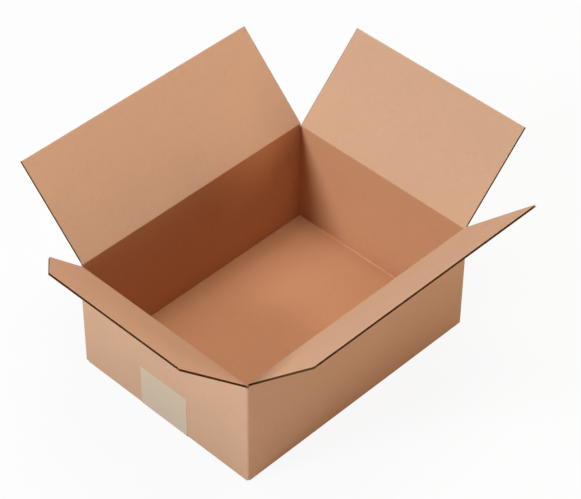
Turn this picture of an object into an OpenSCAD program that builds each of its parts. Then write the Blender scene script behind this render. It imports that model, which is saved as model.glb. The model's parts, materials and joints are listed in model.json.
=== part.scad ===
// Open slotted carton of single-wall corrugated board, folded from one sheet and taped underneath.
// X runs along the long side panels, Y along the end panels, Z up. It stands on Z = 0, centred.

/* [Carton] */
// Outside length, end panel to end panel
carton_l = 240; // [200:1:320]
// Outside width, side panel to side panel
carton_w = 181; // [140:1:190]
// Outside height with the top closed
carton_h = 103; // [80:1:160]

/* [Board] */
// Thickness of the corrugated board
board = 1.6; // [1.4:0.1:3]
// Thickness of each flat liner sheet
liner = 0.2; // [0.15:0.05:0.35]
// Thickness of the wavy middle sheet, along the cut edge
medium = 0.2; // [0.2:0.05:0.4]
// Pitch of the flutes
flute_pitch = 3.4; // [3:0.1:8]
// Half the run of a flute's sloping side
flute_slope = 0.4; // [0.2:0.05:0.5]
// Depth of the open flute mouths in the tips of the top flaps
mouth_depth = 6; // [2:1:12]
// Depth of the flute laid open along a cut side edge
edge_channel = 1.2; // [0.6:0.1:2]

/* [Folds] */
// Outside radius of the folded corners and of the side panels' bottom edges
fold_r = 1.8; // [1:0.1:3]
// Outside radius of the end panels' bottom edges, pressed tight against the outer bottom flaps
tight_r = 0.6; // [0.4:0.1:1.4]
// Lean of the open top flaps, outward from upright
flap_lean = 45; // [0:1:110]
// Gap in the score between a panel and the root of its flap
score_gap = 0.4; // [0.3:0.1:1]
// Slope of the crushed score on the inside, on panel and flap
score_angle = 45; // [45:1:60]

/* [Flap fits] */
// Gap between the closed end flaps and the side flaps over them
layer_gap = 0.3; // [0.2:0.1:1]
// Gap between the tips of the two closed side flaps
seam_gap = 0.6; // [0.4:0.1:3]
// Clearance of an end flap between the side panels
flap_clear = 0.3; // [0.3:0.1:2]
// Inset of a side flap from each end of the carton
side_inset = 1.8; // [0.6:0.1:4]
// Reach of a corner slot from the outside faces, past the board
slot_reach = 0.4; // [0.2:0.1:3]
// Drop of a corner slot below the end crease
slot_drop = 1.2; // [0.4:0.1:4]

/* [Bottom] */
// Set-back of the outer bottom flaps from the end panels
bottom_inset = 0.4; // [0.2:0.1:3]

/* [Glued corner] */
// Width of the glue tab inside the left end panel
tab_w = 30; // [20:1:45]
// Set-back of the tab from the floor and from the closed end flap
tab_gap = 4; // [2:0.5:10]
// Slant of the tab's two ends
tab_taper = 6; // [2:0.5:12]

/* [Tape] */
// Width of the tape along the bottom seam
tape_w = 50.5; // [36:0.5:75]
// Thickness of the tape
tape_t = 0.15; // [0.1:0.05:0.3]
// Height to which the tape runs up each end panel
tape_tab = 41; // [20:1:60]
// Distance of the tape's middle from the seam, towards the back
tape_shift = 1; // [-5:0.5:5]

/* [Clipped corner] */
// Length missing from the back edge of the left end flap
clip_edge = 47; // [10:1:60]
// Length missing from the tip of the left end flap
clip_tip = 41; // [10:1:60]

/* [Hidden] */
$fn = 48;
eps = 0.05;
side_crease_z = carton_h;
end_crease_z = side_crease_z - board - layer_gap;
score_drop = board * tan(score_angle);
// The side flaps meet in the middle of the closed top, and the end flaps are cut to the same length.
side_flap_l = (carton_w - seam_gap) / 2;
end_flap_l = side_flap_l;
side_flap_w = carton_l - 2 * side_inset;
end_flap_w = carton_w - 2 * (board + flap_clear);
base_z = tape_t;
layer_z = base_z + board;
floor_z = layer_z + board;
slot_w = board + slot_reach;
slot_z = end_crease_z - slot_drop;
mouth_wide = flute_pitch / 4 + flute_slope - medium / 2;
mouth_narrow = flute_pitch / 4 - flute_slope - medium / 2;
kraft = [0.78, 0.62, 0.50];
kraft_inside = [0.77, 0.58, 0.46];
tape_colour = [0.77, 0.71, 0.61];

// Upright outline with its two lower corners rounded, from height low to height high.
module round_bottomed(width, low, high, r) {
  translate([-width / 2, low + r]) square([width, high - low - r]);
  translate([-width / 2 + r, low]) square([width - 2 * r, r + eps]);
  for (s = [-1, 1])
    translate([s * (width / 2 - r), low + r]) circle(r);
}

// Two facing panels and the bottom flaps folded in from them, as one bent strip seen end on.
module belt_profile(width, low, crease_z, r) {
  difference() {
    round_bottomed(width, low, crease_z, r);
    translate([-width / 2 + board, low + board]) square([width - 2 * board, crease_z]);
    for (s = [-1, 1])
      polygon([[s * width / 2, crease_z],
               [s * (width / 2 - board - eps), crease_z],
               [s * (width / 2 - board - eps), crease_z - (board + eps) * tan(score_angle)]]);
  }
}

// The side panels with the outer bottom flaps, which meet at the seam and stop short of the end panels.
module side_belt() {
  difference() {
    rotate([90, 0, 90]) linear_extrude(carton_l, center = true)
      belt_profile(carton_w, base_z, side_crease_z, fold_r);
    translate([0, 0, base_z]) cube([carton_l + 1, seam_gap, 2 * board], center = true);
    for (s = [-1, 1])
      translate([s * carton_l / 2, 0, base_z])
        cube([2 * bottom_inset, carton_w + 1, 2 * board], center = true);
  }
}

// The end panels with the inner bottom flaps, which lie on the outer ones and butt tight,
// so they make one plain floor.
module end_belt() {
  rotate([90, 0, 0]) linear_extrude(carton_w, center = true)
    belt_profile(carton_l, layer_z, end_crease_z, tight_r);
}

// Plan of the folded panels. Three corners are folds, and the left back one is glued:
// the end panel ends there in a raw edge, and the back panel folds in behind it.
module panel_plan() {
  glue_x = -carton_l / 2 + board;
  difference() {
    union() {
      translate([-carton_l / 2 + fold_r, -carton_w / 2]) square([carton_l - 2 * fold_r, carton_w]);
      translate([-carton_l / 2, -carton_w / 2 + fold_r]) square([carton_l, carton_w - 2 * fold_r]);
      translate([-carton_l / 2, 0]) square([2 * fold_r, carton_w / 2]);
      for (corner = [[-1, -1], [1, -1], [1, 1]])
        translate([corner[0] * (carton_l / 2 - fold_r), corner[1] * (carton_w / 2 - fold_r)])
          circle(fold_r);
    }
    difference() {
      translate([glue_x, carton_w / 2 - fold_r]) square([fold_r, fold_r + eps]);
      translate([glue_x + fold_r, carton_w / 2 - fold_r]) circle(fold_r);
    }
  }
}

// Slots between neighbouring flaps, cut at each corner from height low to height high.
module corner_slots(low, high) {
  for (sx = [-1, 1], sy = [-1, 1])
    translate([sx * carton_l / 2, sy * carton_w / 2, (low + high) / 2])
      cube([2 * slot_w, 2 * slot_w, high - low], center = true);
}

// Flute laid open along the raw edge of the left end panel, at the glued corner.
module glued_edge() {
  low = floor_z + fold_r;
  translate([-carton_l / 2 + board / 2, carton_w / 2, (low + carton_h) / 2])
    cube([board - 2 * liner, 2 * edge_channel, carton_h - low], center = true);
}

// Tab on the back panel, folded in at the left back corner and glued inside the end panel.
module glue_tab() {
  root_y = carton_w / 2 - board + eps;
  tip_y = carton_w / 2 - board - tab_w;
  low = floor_z + tab_gap;
  high = end_crease_z - board - tab_gap;
  translate([-carton_l / 2 + board - eps, 0, 0])
    rotate([90, 0, 90]) linear_extrude(board + eps)
      polygon([[root_y, low], [root_y, high], [tip_y, high - tab_taper], [tip_y, low + tab_taper]]);
}

// Four panels, bottom flaps and glue tab: the part of the sheet that stays folded.
module carton_body() {
  color(kraft) union() {
    difference() {
      intersection() {
        union() {
          side_belt();
          end_belt();
        }
        linear_extrude(carton_h + 1) panel_plan();
      }
      corner_slots(slot_z, carton_h + 1);
      corner_slots(-1, layer_z);
      glued_edge();
    }
    glue_tab();
  }
}

// Height at which the flutes are cut, across a flap whose left tip corner may be clipped.
function cut_height(x, length, width, clip) =
  let (run = x + width / 2)
  clip[1] > run ? length - clip[0] * (1 - run / clip[1]) : length;

// Face of a flap, standing on its crease, with an optional clipped corner.
module flap_outline(length, width, clip) {
  corner = clip[0] > 0 ? [[-width / 2 + clip[1], length], [-width / 2, length - clip[0]]]
                       : [[-width / 2, length]];
  polygon(concat([[-width / 2, 0], [width / 2, 0], [width / 2, length]], corner));
}

// One open flute mouth, wide against one liner and narrow against the other.
module mouth(wide_y, narrow_y) {
  polygon([[-mouth_wide, wide_y], [mouth_wide, wide_y],
           [mouth_narrow, narrow_y], [-mouth_narrow, narrow_y]]);
}

// Flute mouths along the tip of a flap, open by turns towards the inner and the outer liner.
module flute_mouths(length, width, clip) {
  count = floor((width - 2 * edge_channel) / flute_pitch) - 1;
  for (i = [0 : 2 * count]) {
    x = (i - count) * flute_pitch / 2;
    translate([x, 0, cut_height(x, length, width, clip) - mouth_depth])
      linear_extrude(mouth_depth + clip[0] + 1)
        if (i % 2 == 0) mouth(board - liner, liner + medium);
        else mouth(liner, board - liner - medium);
  }
}

// Top flap standing upright on its crease, which is the X axis, with its outer face on Y = 0.
// The root is crushed to the outer liner, so the flap folds about that line.
module flap(length, width, clip = [0, 0]) {
  difference() {
    intersection() {
      rotate([90, 0, 90]) linear_extrude(width, center = true)
        polygon([[0, score_gap], [0, length], [board, length], [board, score_gap + score_drop]]);
      translate([0, board, 0]) rotate([90, 0, 0]) linear_extrude(board)
        flap_outline(length, width, clip);
    }
    flute_mouths(length, width, clip);
    for (s = [-1, 1])
      translate([s * width / 2, board / 2, length / 2 + score_gap + score_drop])
        cube([2 * edge_channel, board - 2 * liner, length], center = true);
  }
}

// A flap on the crease of a panel that faces the given turn from the front, leaning open.
module hung_flap(turn, reach, crease_z, length, width, clip = [0, 0]) {
  color(kraft_inside)
    rotate([0, 0, turn]) translate([0, -reach, crease_z]) rotate([flap_lean, 0, 0])
      flap(length, width, clip);
}

module front_side_flap() {
  hung_flap(0, carton_w / 2, side_crease_z, side_flap_l, side_flap_w);
}

module back_side_flap() {
  hung_flap(180, carton_w / 2, side_crease_z, side_flap_l, side_flap_w);
}

// The back tip corner of this flap is missing.
module left_end_flap() {
  hung_flap(-90, carton_l / 2, end_crease_z, end_flap_l, end_flap_w, [clip_edge, clip_tip]);
}

module right_end_flap() {
  hung_flap(90, carton_l / 2, end_crease_z, end_flap_l, end_flap_w);
}

// One strip along the bottom seam, turned up against both end panels.
module sealing_tape() {
  color(tape_colour)
    translate([0, tape_shift, 0]) rotate([90, 0, 0]) linear_extrude(tape_w, center = true)
      difference() {
        round_bottomed(carton_l + 2 * tape_t, 0, tape_tab, bottom_inset + tape_t);
        round_bottomed(carton_l, tape_t, tape_tab + 1, bottom_inset);
      }
}

carton_body();
front_side_flap();
back_side_flap();
left_end_flap();
right_end_flap();
sealing_tape();
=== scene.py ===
import json
import math

import bpy
from mathutils import Euler, Matrix, Vector


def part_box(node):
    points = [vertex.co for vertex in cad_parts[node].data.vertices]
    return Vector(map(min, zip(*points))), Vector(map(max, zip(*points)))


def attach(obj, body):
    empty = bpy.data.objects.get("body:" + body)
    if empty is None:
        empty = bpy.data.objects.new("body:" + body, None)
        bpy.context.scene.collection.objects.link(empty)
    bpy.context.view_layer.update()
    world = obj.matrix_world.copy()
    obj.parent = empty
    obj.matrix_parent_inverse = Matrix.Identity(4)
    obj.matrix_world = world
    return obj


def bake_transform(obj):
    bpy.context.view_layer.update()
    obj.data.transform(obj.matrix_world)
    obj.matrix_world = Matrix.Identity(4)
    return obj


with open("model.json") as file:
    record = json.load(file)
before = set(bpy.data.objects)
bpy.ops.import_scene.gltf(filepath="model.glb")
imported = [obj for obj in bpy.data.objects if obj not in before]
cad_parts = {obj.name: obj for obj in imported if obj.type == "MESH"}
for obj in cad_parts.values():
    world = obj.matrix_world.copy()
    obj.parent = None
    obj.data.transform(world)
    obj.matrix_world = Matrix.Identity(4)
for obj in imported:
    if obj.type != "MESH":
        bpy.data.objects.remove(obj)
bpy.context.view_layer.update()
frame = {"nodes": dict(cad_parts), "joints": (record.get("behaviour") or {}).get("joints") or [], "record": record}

# Carton body
# The part of the die-cut sheet that stays folded: four panels, the glued corner and the taped bottom.
# It is brown kraft corrugated board, matte, with a fine fibrous liner on both faces.
BOARD = 0.0016
FLUTE_PITCH = 0.0034
KRAFT = (0.500, 0.300, 0.190, 1.0)
# Painted shade: the faces inside the carton take a deeper, redder copy of the same liner, for the shade inside the
# box.
INSIDE_SHADE_KRAFT = (0.540, 0.270, 0.142, 1.0)
# Rubbed liner is paler; the same lightening is also a painted highlight along the flap tips, the inner creases and
# the foot.
RUBBED_HIGHLIGHT = (1.14, 1.16, 1.18, 1.0)
# Raw fibre, painted nearly black as the shade in the open flutes at cut edges and between the liners.
CUT_FIBRE_SHADE = (0.125, 0.056, 0.017, 1.0)
LINER_SHEEN = 0.08
LINER_SMOOTH = 0.74
LINER_DULL = 0.9
LINER_BUMP = 0.35
LINER_RELIEF = 0.00006


def place(tree, kind, feeds, **settings):
    """Adds one node to a tree, sets it, and feeds its inputs from values or other sockets."""
    made = tree.nodes.new(kind)
    for name, value in settings.items():
        setattr(made, name, value)
    for key, value in feeds.items():
        if isinstance(value, bpy.types.NodeSocket):
            tree.links.new(value, made.inputs[key])
        else:
            made.inputs[key].default_value = value
    return made


def math_node(tree, operation, *values):
    """One Math node on up to three values or sockets, and its result."""
    return place(tree, "ShaderNodeMath", dict(enumerate(values)), operation=operation).outputs[0]


def noise(tree, position, scale, detail, twist=0.0):
    """A noise pattern with about as many spots to the metre as its scale."""
    feeds = {"Vector": position, "Scale": scale, "Detail": detail, "Distortion": twist}
    return place(tree, "ShaderNodeTexNoise", feeds).outputs["Fac"]


def spread(tree, value, low, high, first, last):
    """A value that runs from low to high, moved so that it runs from first to last."""
    feeds = {"Value": value, "From Min": low, "From Max": high, "To Min": first, "To Max": last}
    return place(tree, "ShaderNodeMapRange", feeds).outputs[0]


def mixed(tree, share, colour, shade, way):
    """A colour mixed with a shade, or multiplied by it, by a share. The Mix node takes its two
    colours at inputs 6 and 7, and its two plain numbers at 2 and 3."""
    return place(tree, "ShaderNodeMix", {"Factor": share, 6: colour, 7: shade},
                 data_type="RGBA", blend_type=way).outputs[2]


def node_group(name, inputs, outputs):
    """An empty shader node group with its named sockets, and its input and output nodes."""
    tree = bpy.data.node_groups.new(name, "ShaderNodeTree")
    for way, sockets in (("INPUT", inputs), ("OUTPUT", outputs)):
        for label, kind in sockets.items():
            tree.interface.new_socket(label, in_out=way, socket_type="NodeSocket" + kind)
    return tree, tree.nodes.new("NodeGroupInput").outputs, tree.nodes.new("NodeGroupOutput").inputs


# Brown liner paper: soft clouds, mottling, fine grain, short fibres, a few dark specks and the faint
# ribs of the flutes under it. The first four shade it both ways, each by half its tone.
NOISE_LOW = 0.3
NOISE_HIGH = 0.7
CLOUD_SCALE = 26.0
CLOUD_TONE = 0.07
MOTTLE_SCALE = 190.0
MOTTLE_TONE = 0.05
GRAIN_SCALE = 1300.0
GRAIN_TONE = 0.10
FIBRE_SCALE = 330.0
FIBRE_TONE = 0.10
FIBRE_RELIEF = 0.8
SPECK_SCALE = 480.0
SPECK_START = 0.78
SPECK_FULL = 0.86
SPECK_TONE = 0.08
RIB_TONE = 0.006
RIB_RELIEF = 0.12

liner_paper, paper_in, paper_out = node_group(
    "liner_paper",
    {"Position": "Vector", "Across": "Float", "Colour": "Color"},
    {"Colour": "Color", "Roughness": "Float", "Relief": "Float"})
cloud = noise(liner_paper, paper_in["Position"], CLOUD_SCALE, detail=3.0)
mottle = noise(liner_paper, paper_in["Position"], MOTTLE_SCALE, detail=2.0)
grain = noise(liner_paper, paper_in["Position"], GRAIN_SCALE, detail=2.0)
fibre = noise(liner_paper, paper_in["Position"], FIBRE_SCALE, detail=4.0, twist=1.6)
speck = noise(liner_paper, paper_in["Position"], SPECK_SCALE, detail=0.0)
rib = math_node(liner_paper, "SINE",
                math_node(liner_paper, "MULTIPLY", paper_in["Across"], 2.0 * math.pi / FLUTE_PITCH))
shading = ((cloud, CLOUD_TONE), (grain, GRAIN_TONE), (fibre, FIBRE_TONE), (mottle, MOTTLE_TONE))
tone = 1.0
for pattern, amount in shading:
    tone = math_node(liner_paper, "MULTIPLY_ADD", pattern, amount,
                     math_node(liner_paper, "SUBTRACT", tone, amount / 2))
tone = math_node(liner_paper, "MULTIPLY_ADD", rib, RIB_TONE, tone)
tone = math_node(liner_paper, "SUBTRACT", tone,
                 spread(liner_paper, speck, SPECK_START, SPECK_FULL, 0.0, SPECK_TONE))
dullness = spread(liner_paper, fibre, NOISE_LOW, NOISE_HIGH, LINER_SMOOTH, LINER_DULL)
relief = math_node(liner_paper, "MULTIPLY_ADD", rib, RIB_RELIEF, grain)
relief = math_node(liner_paper, "MULTIPLY_ADD", fibre, FIBRE_RELIEF, relief)
liner_paper.links.new(mixed(liner_paper, 1.0, paper_in["Colour"], tone, "MULTIPLY"), paper_out["Colour"])
liner_paper.links.new(dullness, paper_out["Roughness"])
liner_paper.links.new(relief, paper_out["Relief"])


def board_material(name, regions):
    """Kraft board: liner paper on the faces, paler where it is rubbed, which is partly a painted highlight; a
    deeper, redder copy of the liner inside the carton, which is painted shade; and raw fibre at the cut edges,
    painted dark as the shade in the open flutes. regions gets the tree, the place and the facing of a point, and
    returns how far along the flutes' pitch it lies and its shares of inside shade, rubbed liner with highlight and
    dark cut edge."""
    material = bpy.data.materials.new(name)
    material.use_nodes = True
    tree = material.node_tree
    shader = tree.nodes["Principled BSDF"]
    shader.inputs["Specular IOR Level"].default_value = LINER_SHEEN
    spot = tree.nodes.new("ShaderNodeTexCoord").outputs
    across, inside, rub_highlight, cut = regions(tree, spot["Object"], spot["Normal"])
    colour = mixed(tree, inside, KRAFT, INSIDE_SHADE_KRAFT, "MIX")
    colour = mixed(tree, rub_highlight, colour, RUBBED_HIGHLIGHT, "MULTIPLY")
    colour = mixed(tree, cut, colour, CUT_FIBRE_SHADE, "MIX")
    paper = place(tree, "ShaderNodeGroup", {"Position": spot["Object"], "Across": across, "Colour": colour},
                  node_tree=liner_paper)
    tree.links.new(paper.outputs["Colour"], shader.inputs["Base Color"])
    tree.links.new(paper.outputs["Roughness"], shader.inputs["Roughness"])
    bump = place(tree, "ShaderNodeBump",
                 {"Strength": LINER_BUMP, "Distance": LINER_RELIEF, "Height": paper.outputs["Relief"]})
    tree.links.new(bump.outputs["Normal"], shader.inputs["Normal"])
    return material


def parts_of(tree, vector):
    """The X, Y and Z of a vector socket."""
    return place(tree, "ShaderNodeSeparateXYZ", {0: vector}).outputs


def size_of(tree, value):
    """A value without its sign."""
    return math_node(tree, "ABSOLUTE", value)


def overlap(tree, *shares):
    """One where all the shares are one, else nothing."""
    common = shares[0]
    for share in shares[1:]:
        common = math_node(tree, "MULTIPLY", common, share)
    return common


def above(tree, value, limit):
    """One where a value is over a limit, else nothing."""
    return math_node(tree, "GREATER_THAN", value, limit)


def below(tree, value, limit):
    """One where a value is under a limit, else nothing."""
    return math_node(tree, "LESS_THAN", value, limit)


body_low, body_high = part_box("carton_body")
FLOOR_TOP = body_low.z + 2 * BOARD
LINER_EDGE = 0.00004
RAW_DEPTH = 0.0025
MOSTLY = 0.5


def body_regions(tree, position, normal):
    """Flutes run up the panels, so they are counted along X on the side panels and underneath.
    Raw edges, painted dark as the shade in their open flutes: the end panel's at the glued corner, and the glue
    tab's inside it."""
    here = parts_of(tree, position)
    facing = parts_of(tree, normal)
    off_x = size_of(tree, here["X"])
    off_y = size_of(tree, here["Y"])
    side = math_node(tree, "MAXIMUM", above(tree, size_of(tree, facing["Y"]), MOSTLY),
                     below(tree, facing["Z"], -MOSTLY))
    across = place(tree, "ShaderNodeMix", {0: side, 2: here["Y"], 3: here["X"]}).outputs[0]
    # Faces inside the carton, walls and floor, which take the painted shade of the inside.
    inside = overlap(tree,
                     below(tree, off_x, body_high.x - BOARD / 2),
                     below(tree, off_y, body_high.y - BOARD / 2),
                     above(tree, here["Z"], FLOOR_TOP - BOARD / 2))
    glued = overlap(tree,
                    below(tree, here["X"], body_low.x + BOARD - LINER_EDGE),
                    above(tree, here["X"], body_low.x + LINER_EDGE),
                    above(tree, here["Y"], body_high.y - RAW_DEPTH))
    tab = overlap(tree,
                  below(tree, here["X"], body_low.x + 2 * BOARD - LINER_EDGE),
                  above(tree, here["X"], body_low.x + BOARD + LINER_EDGE),
                  above(tree, here["Z"], FLOOR_TOP),
                  below(tree, off_y, body_high.y - 2 * BOARD))
    return across, inside, 0.0, math_node(tree, "MAXIMUM", glued, tab)


frame["nodes"]["carton_body"].material_slots[0].material = board_material("kraft_board_body", body_regions)

# Top flaps
# Four flaps of the same sheet, folded out at their scores. Their tips and sides are raw cuts, where the flutes
# between the two liners show open, painted dark as the shade in them. At the sides a thin band of the liners is
# painted just as dark, as shade over the open flutes.
# Band at each flap's tip that is paler, partly rubbed and partly a painted highlight.
TIP_RUB_HIGHLIGHT = 0.0006
# Width of the band of liner at each flap's sides that is painted as dark as the raw fibre, a painted shade over
# the open flutes.
SIDE_SHADE_BAND = 0.0003
UP = Vector((0.0, 0.0, 1.0))


def outward(joint):
    """Level direction from the middle of the carton to a flap's crease."""
    crease = Vector(joint["pos_m"])
    return Vector((crease.x, crease.y, 0.0)).normalized()


def leaf_of(joint):
    """Direction in which a flap leaves its crease at rest, halfway between upright and level."""
    return (UP + outward(joint)).normalized()


def crease_line(joint):
    """Direction of a flap's crease, and the name of the axis that it runs along."""
    along = Vector([abs(part) for part in joint["axis"]])
    return along, "X" if along.x > MOSTLY else "Y"


def flap_board(node, joint):
    """Board of one flap: flutes counted along the crease, liner rubbed and with a painted highlight at the tip,
    and raw fibre painted dark as shade at the sides and in everything that lies between the two liners."""
    crease = Vector(joint["pos_m"])
    leaf = leaf_of(joint)
    face = (UP - outward(joint)).normalized()
    along, axis = crease_line(joint)
    vertices = frame["nodes"][node].data.vertices
    tip = max((vertex.co - crease).dot(leaf) for vertex in vertices)
    side = max(abs(vertex.co.dot(along)) for vertex in vertices)

    def regions(tree, position, normal):
        from_crease = place(tree, "ShaderNodeVectorMath", {0: position, 1: crease},
                            operation="SUBTRACT").outputs[0]
        run, depth = [place(tree, "ShaderNodeVectorMath", {0: from_crease, 1: way},
                            operation="DOT_PRODUCT").outputs["Value"] for way in (leaf, face)]
        off_middle = size_of(tree, math_node(tree, "SUBTRACT", depth, BOARD / 2))
        across = parts_of(tree, position)[axis]
        # Everything between the liners and the band at the sides is painted dark, as shade.
        cut = math_node(tree, "MAXIMUM", below(tree, off_middle, BOARD / 2 - LINER_EDGE),
                        above(tree, size_of(tree, across), side - SIDE_SHADE_BAND))
        return across, 0.0, above(tree, run, tip - TIP_RUB_HIGHLIGHT), cut

    return board_material("kraft_board_" + node, regions)


flap_joints = {}
for joint in frame["joints"]:
    for node in frame["record"]["behaviour"]["bodies"][joint["child"]]:
        flap_joints[node] = joint
        frame["nodes"][node].material_slots[0].material = flap_board(node, joint)

# Scores
# The crushed line that each flap folds on. The liners run on over it without a break, so one strip
# bridges the score on the inside and one closes it on the outside.
FLAP_LEAN = math.radians(45)
SCORE_REACH = 0.0040
SCORE_PROUD = 0.00004
SCORE_SHEET = 0.00022
SCORE_ROUND = 0.0006
SCORE_CRISP = 0.0002
ROUND_STEPS = 8
SMOOTH_ANGLE = math.radians(40)
ON_LINE = 1e-6


def pick_corner(strip, corner):
    """Selects the one edge of a strip that lies on the line of its fold."""
    bpy.ops.object.mode_set(mode="EDIT")
    bpy.ops.mesh.select_mode(type="EDGE")
    bpy.ops.mesh.select_all(action="DESELECT")
    bpy.ops.object.mode_set(mode="OBJECT")
    for edge in strip.data.edges:
        middle = sum((strip.data.vertices[v].co for v in edge.vertices), Vector()) / 2
        edge.select = (middle - corner).length < ON_LINE
    bpy.ops.object.mode_set(mode="EDIT")


def fold_strip(name, corner, along, length, lower, upper, into, reach, rounding):
    """A thin bent strip: two leaves as long as reach, which meet on the line through corner. Its
    outer face looks into the direction given."""
    bpy.ops.object.select_all(action="DESELECT")
    turn = Matrix((along, -lower, along.cross(-lower))).transposed()
    bpy.ops.mesh.primitive_plane_add(size=1.0, location=corner + lower * reach / 2,
                                     rotation=turn.to_euler())
    strip = bpy.context.object
    strip.name = name
    strip.scale = (length, reach, 1.0)
    bpy.ops.object.transform_apply(location=True, rotation=True, scale=True)
    pick_corner(strip, corner)
    bpy.ops.mesh.extrude_region_move(TRANSFORM_OT_translate={"value": upper * reach})
    bpy.ops.object.mode_set(mode="OBJECT")
    pick_corner(strip, corner)
    bpy.ops.mesh.bevel(offset=rounding, offset_type="OFFSET", segments=ROUND_STEPS, affect="EDGES")
    bpy.ops.mesh.select_all(action="SELECT")
    bpy.ops.mesh.normals_make_consistent(inside=False)
    bpy.ops.object.mode_set(mode="OBJECT")
    if strip.data.polygons[0].normal.dot(into) < 0:
        strip.data.flip_normals()
    sheet = strip.modifiers.new("sheet", "SOLIDIFY")
    sheet.thickness = SCORE_SHEET
    sheet.offset = -1.0
    bpy.ops.object.modifier_apply(modifier=sheet.name)
    bpy.ops.object.shade_smooth_by_angle(angle=SMOOTH_ANGLE)
    return strip


def liner_board(name, axis, inside, rub_highlight):
    """Liner paper of one shade all over, with the flutes counted along X or Y."""
    def regions(tree, position, normal):
        return parts_of(tree, position)[axis], inside, rub_highlight, 0.0

    return board_material(name, regions)


# Shares of the inside's painted shade and of rubbed liner with its painted highlight, on the panel, round the bend
# and on the flap.
SCORE_SHADES = {"panel": (1.0, 0.0), "bend": (0.5, 0.6), "flap": (0.0, 0.0)}
score_liners = {"X": {}, "Y": {}}
for axis, liners in score_liners.items():
    for label, (inside, rub_highlight) in SCORE_SHADES.items():
        liners[label] = liner_board("kraft_score_" + label + "_" + axis, axis, inside, rub_highlight)

for node, joint in flap_joints.items():
    crease = Vector(joint["pos_m"])
    out = outward(joint)
    leaf = leaf_of(joint)
    bend = (UP + leaf).normalized()
    along, axis = crease_line(joint)
    flap_low, flap_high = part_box(node)
    length = (flap_high - flap_low).dot(along)
    depth = BOARD + SCORE_PROUD
    mitre = UP * math.tan(FLAP_LEAN / 2)
    inner_corner = crease + (mitre - out) * depth
    outer_corner = crease - (mitre - out) * SCORE_PROUD
    inner = fold_strip(node + "_inner_score", inner_corner, along, length,
                       lower=-UP, upper=leaf, into=-out, reach=SCORE_REACH, rounding=SCORE_ROUND)
    outer = fold_strip(node + "_outer_score", outer_corner, along, length,
                       lower=-UP, upper=leaf, into=out, reach=SCORE_REACH, rounding=SCORE_CRISP)
    for label in SCORE_SHADES:
        inner.data.materials.append(score_liners[axis][label])
    for face in inner.data.polygons:
        past = (face.center - inner_corner).dot(bend)
        label = "panel" if past < 0 else "flap"
        if abs(past) < SCORE_ROUND:
            label = "bend"
        face.material_index = list(SCORE_SHADES).index(label)
    outer.data.materials.append(score_liners[axis]["flap"])
    for strip in (inner, outer):
        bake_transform(strip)

# Floor folds
# Where the inner bottom flaps turn in from the end panels, the liner makes a small round at the foot.
# It is a rubbed line of the same sheet, so it lies on the panel and on the floor; its paleness is partly rubbing
# and partly a painted highlight, over the inside's painted shade.
FOLD_REACH = 0.0009
FOLD_ROUND = 0.0006
FOLD_RUB_HIGHLIGHT = 0.7
FOLD_LINE = Vector((0.0, 1.0, 0.0))

floor_fold_liner = liner_board("kraft_floor_fold", "Y", inside=1.0, rub_highlight=FOLD_RUB_HIGHLIGHT)
for name, way in (("left_floor_fold", -1.0), ("right_floor_fold", 1.0)):
    out = Vector((way, 0.0, 0.0))
    foot = out * (body_high.x - BOARD - SCORE_PROUD) + UP * (FLOOR_TOP + SCORE_PROUD)
    fold = fold_strip(name, foot, FOLD_LINE, 2 * (body_high.y - BOARD),
                      lower=-out, upper=UP, into=UP, reach=FOLD_REACH, rounding=FOLD_ROUND)
    fold.data.materials.append(floor_fold_liner)
    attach(fold, "carton")

# Sealing tape
# One strip of beige packing tape, pressed along the bottom seam and up both end panels.
# It is a thin satin film with faint lengthwise streaks.
TAPE = (0.470, 0.360, 0.256, 1.0)
FILM_SHEEN = 0.35
FILM_SMOOTH = 0.42
FILM_DULL = 0.55
STREAK_SCALE = (60.0, 900.0, 60.0)
STREAK_TONE = 0.12

tape_film = bpy.data.materials.new("tape_film")
tape_film.use_nodes = True
film_tree = tape_film.node_tree
film_shader = film_tree.nodes["Principled BSDF"]
film_shader.inputs["Specular IOR Level"].default_value = FILM_SHEEN
film_place = film_tree.nodes.new("ShaderNodeTexCoord").outputs["Object"]
drawn = place(film_tree, "ShaderNodeMapping", {"Vector": film_place, "Scale": STREAK_SCALE}).outputs[0]
streak = noise(film_tree, drawn, scale=1.0, detail=3.0)
film_tone = math_node(film_tree, "MULTIPLY_ADD", streak, STREAK_TONE, 1.0 - STREAK_TONE / 2)
film_dullness = spread(film_tree, streak, NOISE_LOW, NOISE_HIGH, FILM_SMOOTH, FILM_DULL)
film_tree.links.new(mixed(film_tree, 1.0, TAPE, film_tone, "MULTIPLY"), film_shader.inputs["Base Color"])
film_tree.links.new(film_dullness, film_shader.inputs["Roughness"])
frame["nodes"]["sealing_tape"].material_slots[0].material = tape_film

# Studio
# A pale floor and backdrop, soft lamps from the left, front, right and above, and the camera of the
# photograph. The floor and backdrop look white to the camera and light the carton as plain paper.
FLOOR_SIZE = 12.0
PAPER_WHITE = (0.9, 0.9, 0.9, 1.0)
PAPER_DULL = 0.9
BACKDROP_WHITE = (0.974, 0.974, 0.974, 1.0)
FLOOR_GLOW = 0.94
SKY_WHITE = (1.0, 1.0, 1.0, 1.0)
SKY_LIGHT = 0.01
LAMP_DISTANCE = 2.2
LAMP_AIM = Vector((0.0, 0.0, 0.06))


def looked_at(tree):
    """One where the camera sees the surface, straight or in a shiny or clear piece."""
    rays = tree.nodes.new("ShaderNodeLightPath").outputs
    glossy = math_node(tree, "MAXIMUM", rays["Is Glossy Ray"], rays["Is Transmission Ray"])
    return math_node(tree, "MAXIMUM", rays["Is Camera Ray"], glossy)


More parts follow.
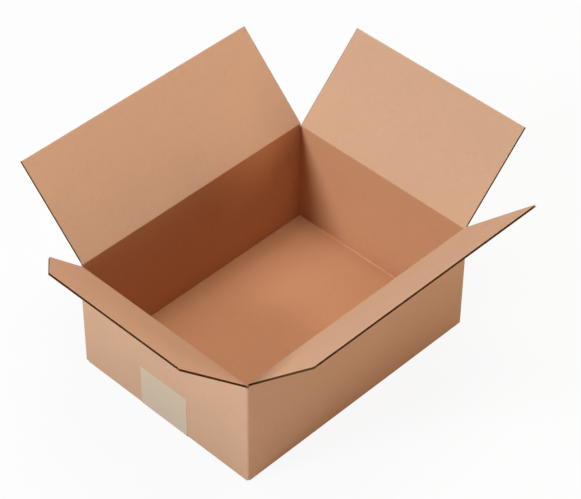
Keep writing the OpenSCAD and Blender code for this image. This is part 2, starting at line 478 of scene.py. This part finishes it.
bpy.ops.object.select_all(action="DESELECT")
bpy.ops.mesh.primitive_plane_add(size=FLOOR_SIZE)
floor = bpy.context.object
floor.name = "studio_floor"
floor_paint = bpy.data.materials.new("studio_paper")
floor_paint.use_nodes = True
floor_tree = floor_paint.node_tree
floor_shader = floor_tree.nodes["Principled BSDF"]
floor_shader.inputs["Base Color"].default_value = PAPER_WHITE
floor_shader.inputs["Roughness"].default_value = PAPER_DULL
floor_shader.inputs["Specular IOR Level"].default_value = 0.0
glow = place(floor_tree, "ShaderNodeEmission", {"Color": BACKDROP_WHITE, "Strength": 1.0})
seen = math_node(floor_tree, "MULTIPLY", looked_at(floor_tree), FLOOR_GLOW)
shown = place(floor_tree, "ShaderNodeMixShader",
              {0: seen, 1: floor_shader.outputs[0], 2: glow.outputs[0]})
floor_tree.links.new(shown.outputs[0], floor_tree.nodes["Material Output"].inputs["Surface"])
floor.data.materials.append(floor_paint)

world = bpy.data.worlds.new("studio")
bpy.context.scene.world = world
world.use_nodes = True
sky_tree = world.node_tree
sky = sky_tree.nodes["Background"]
sky.inputs["Color"].default_value = SKY_WHITE
sky.inputs["Strength"].default_value = SKY_LIGHT
backdrop = place(sky_tree, "ShaderNodeBackground", {"Color": BACKDROP_WHITE, "Strength": 1.0})
sky_mix = place(sky_tree, "ShaderNodeMixShader",
                {0: looked_at(sky_tree), 1: sky.outputs[0], 2: backdrop.outputs[0]})
sky_tree.links.new(sky_mix.outputs[0], sky_tree.nodes["World Output"].inputs["Surface"])


def lamp(name, bearing, height, side, watts):
    """A square soft box that faces the carton from a bearing round it and a height above the floor,
    both in degrees, with its side in metres and its power in red, green and blue."""
    turn = Euler((0.0, -math.radians(height), math.radians(bearing)))
    where = Vector((LAMP_DISTANCE, 0.0, 0.0))
    where.rotate(turn)
    bpy.ops.object.light_add(type="AREA", location=where)
    light = bpy.context.object
    light.name = name
    light.data.size = side
    light.data.energy = max(watts)
    light.data.color = [part / light.data.energy for part in watts]
    light.rotation_euler = (LAMP_AIM - where).to_track_quat("-Z", "Y").to_euler()


lamp("key", bearing=165, height=32, side=0.5, watts=(37.7, 41.1, 44.0))
lamp("fill_front", bearing=290, height=13, side=0.5, watts=(14.8, 11.4, 7.9))
lamp("fill_right", bearing=345, height=25, side=0.5, watts=(10.8, 8.7, 7.5))
lamp("top_right", bearing=20, height=62, side=1.0, watts=(16.5, 15.5, 15.5))
lamp("top", bearing=0, height=89.9, side=1.0, watts=(23.0, 21.9, 20.3))

CAMERA_AZIMUTH = math.radians(-45.878)
CAMERA_ELEVATION = math.radians(42.859)
CAMERA_ROLL = math.radians(0.509)
CAMERA_PLACE = (-0.92922, -0.91683, 1.31129)
SENSOR_WIDTH = 36.0
NEAR_CLIP = 0.05
PHOTO_WIDTH = 581
FOCAL_PIXELS = 2323.5

bpy.ops.object.camera_add(location=CAMERA_PLACE)
camera = bpy.context.object
turn = Euler((math.pi / 2 - CAMERA_ELEVATION, 0.0, CAMERA_AZIMUTH)).to_matrix()
camera.rotation_euler = (turn @ Matrix.Rotation(CAMERA_ROLL, 3, "Z")).to_euler()
camera.data.sensor_fit = "HORIZONTAL"
camera.data.sensor_width = SENSOR_WIDTH
camera.data.lens = SENSOR_WIDTH * FOCAL_PIXELS / PHOTO_WIDTH
camera.data.clip_start = NEAR_CLIP
bpy.context.scene.camera = camera
bpy.context.scene.view_settings.view_transform = "Standard"
